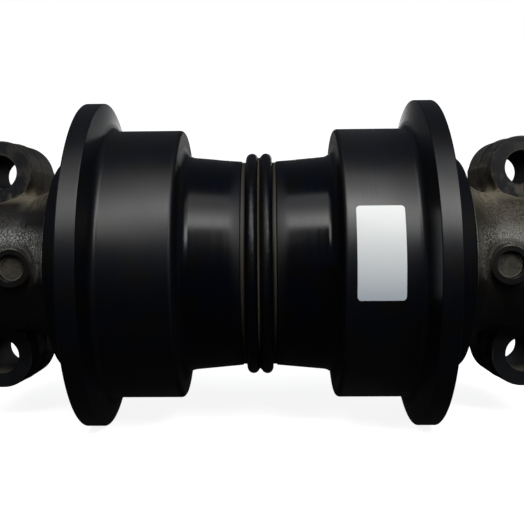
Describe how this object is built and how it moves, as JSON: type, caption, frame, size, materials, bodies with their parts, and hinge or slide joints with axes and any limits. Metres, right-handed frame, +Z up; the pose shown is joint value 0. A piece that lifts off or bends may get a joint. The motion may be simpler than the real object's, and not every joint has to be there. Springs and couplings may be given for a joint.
{
  "type": "track roller",
  "caption": "Excavator bottom roller: waisted roller with wide treads and outer flanges on a fixed shaft, held by cast end collars with bolt holes.",
  "frame": {"origin": "centre of the roller, on the shaft's axis, halfway between the flanges", "axes": "+Y along the shaft, +Z up with the roller standing on its flanges, +X towards the bolt heads and -X towards the mounting faces"},
  "size_m": [0.188, 0.3478, 0.188],
  "materials": {
    "roller_paint": "satin black paint over a turned forging",
    "collar_casting": "black paint on a rough casting, dusty",
    "shaft_steel": "ground steel",
    "bushing_bronze": "steel-backed bronze",
    "pin_zinc": "olive passivated zinc",
    "seal_iron": "lapped hard iron",
    "seal_rubber": "matte",
    "plug_steel": "blackened steel",
    "washer_copper": "soft copper",
    "label_film": "bare satin film"
  },
  "bodies": {
    "axle": {"shaft": "shaft_steel", "collar_left": "collar_casting", "collar_right": "collar_casting", "lock_pin_left": "pin_zinc", "lock_pin_right": "pin_zinc", "collar_seal_left": "seal_iron", "collar_seal_right": "seal_iron", "collar_toric_left": "seal_rubber", "collar_toric_right": "seal_rubber", "shaft_oring_left": "seal_rubber", "shaft_oring_right": "seal_rubber", "oil_plug": "plug_steel", "plug_washer": "washer_copper"},
    "roller": {"shell_left": "roller_paint", "shell_right": "roller_paint", "bushing_left": "bushing_bronze", "bushing_right": "bushing_bronze", "roller_seal_left": "seal_iron", "roller_seal_right": "seal_iron", "roller_toric_left": "seal_rubber", "roller_toric_right": "seal_rubber", "label": "label_film"}
  },
  "joints": [
    {"name": "roller_spin", "type": "hinge", "parent": "axle", "child": "roller", "pos_m": [0, 0, 0], "axis": [0, 1, 0], "continuous": true}
  ]
}
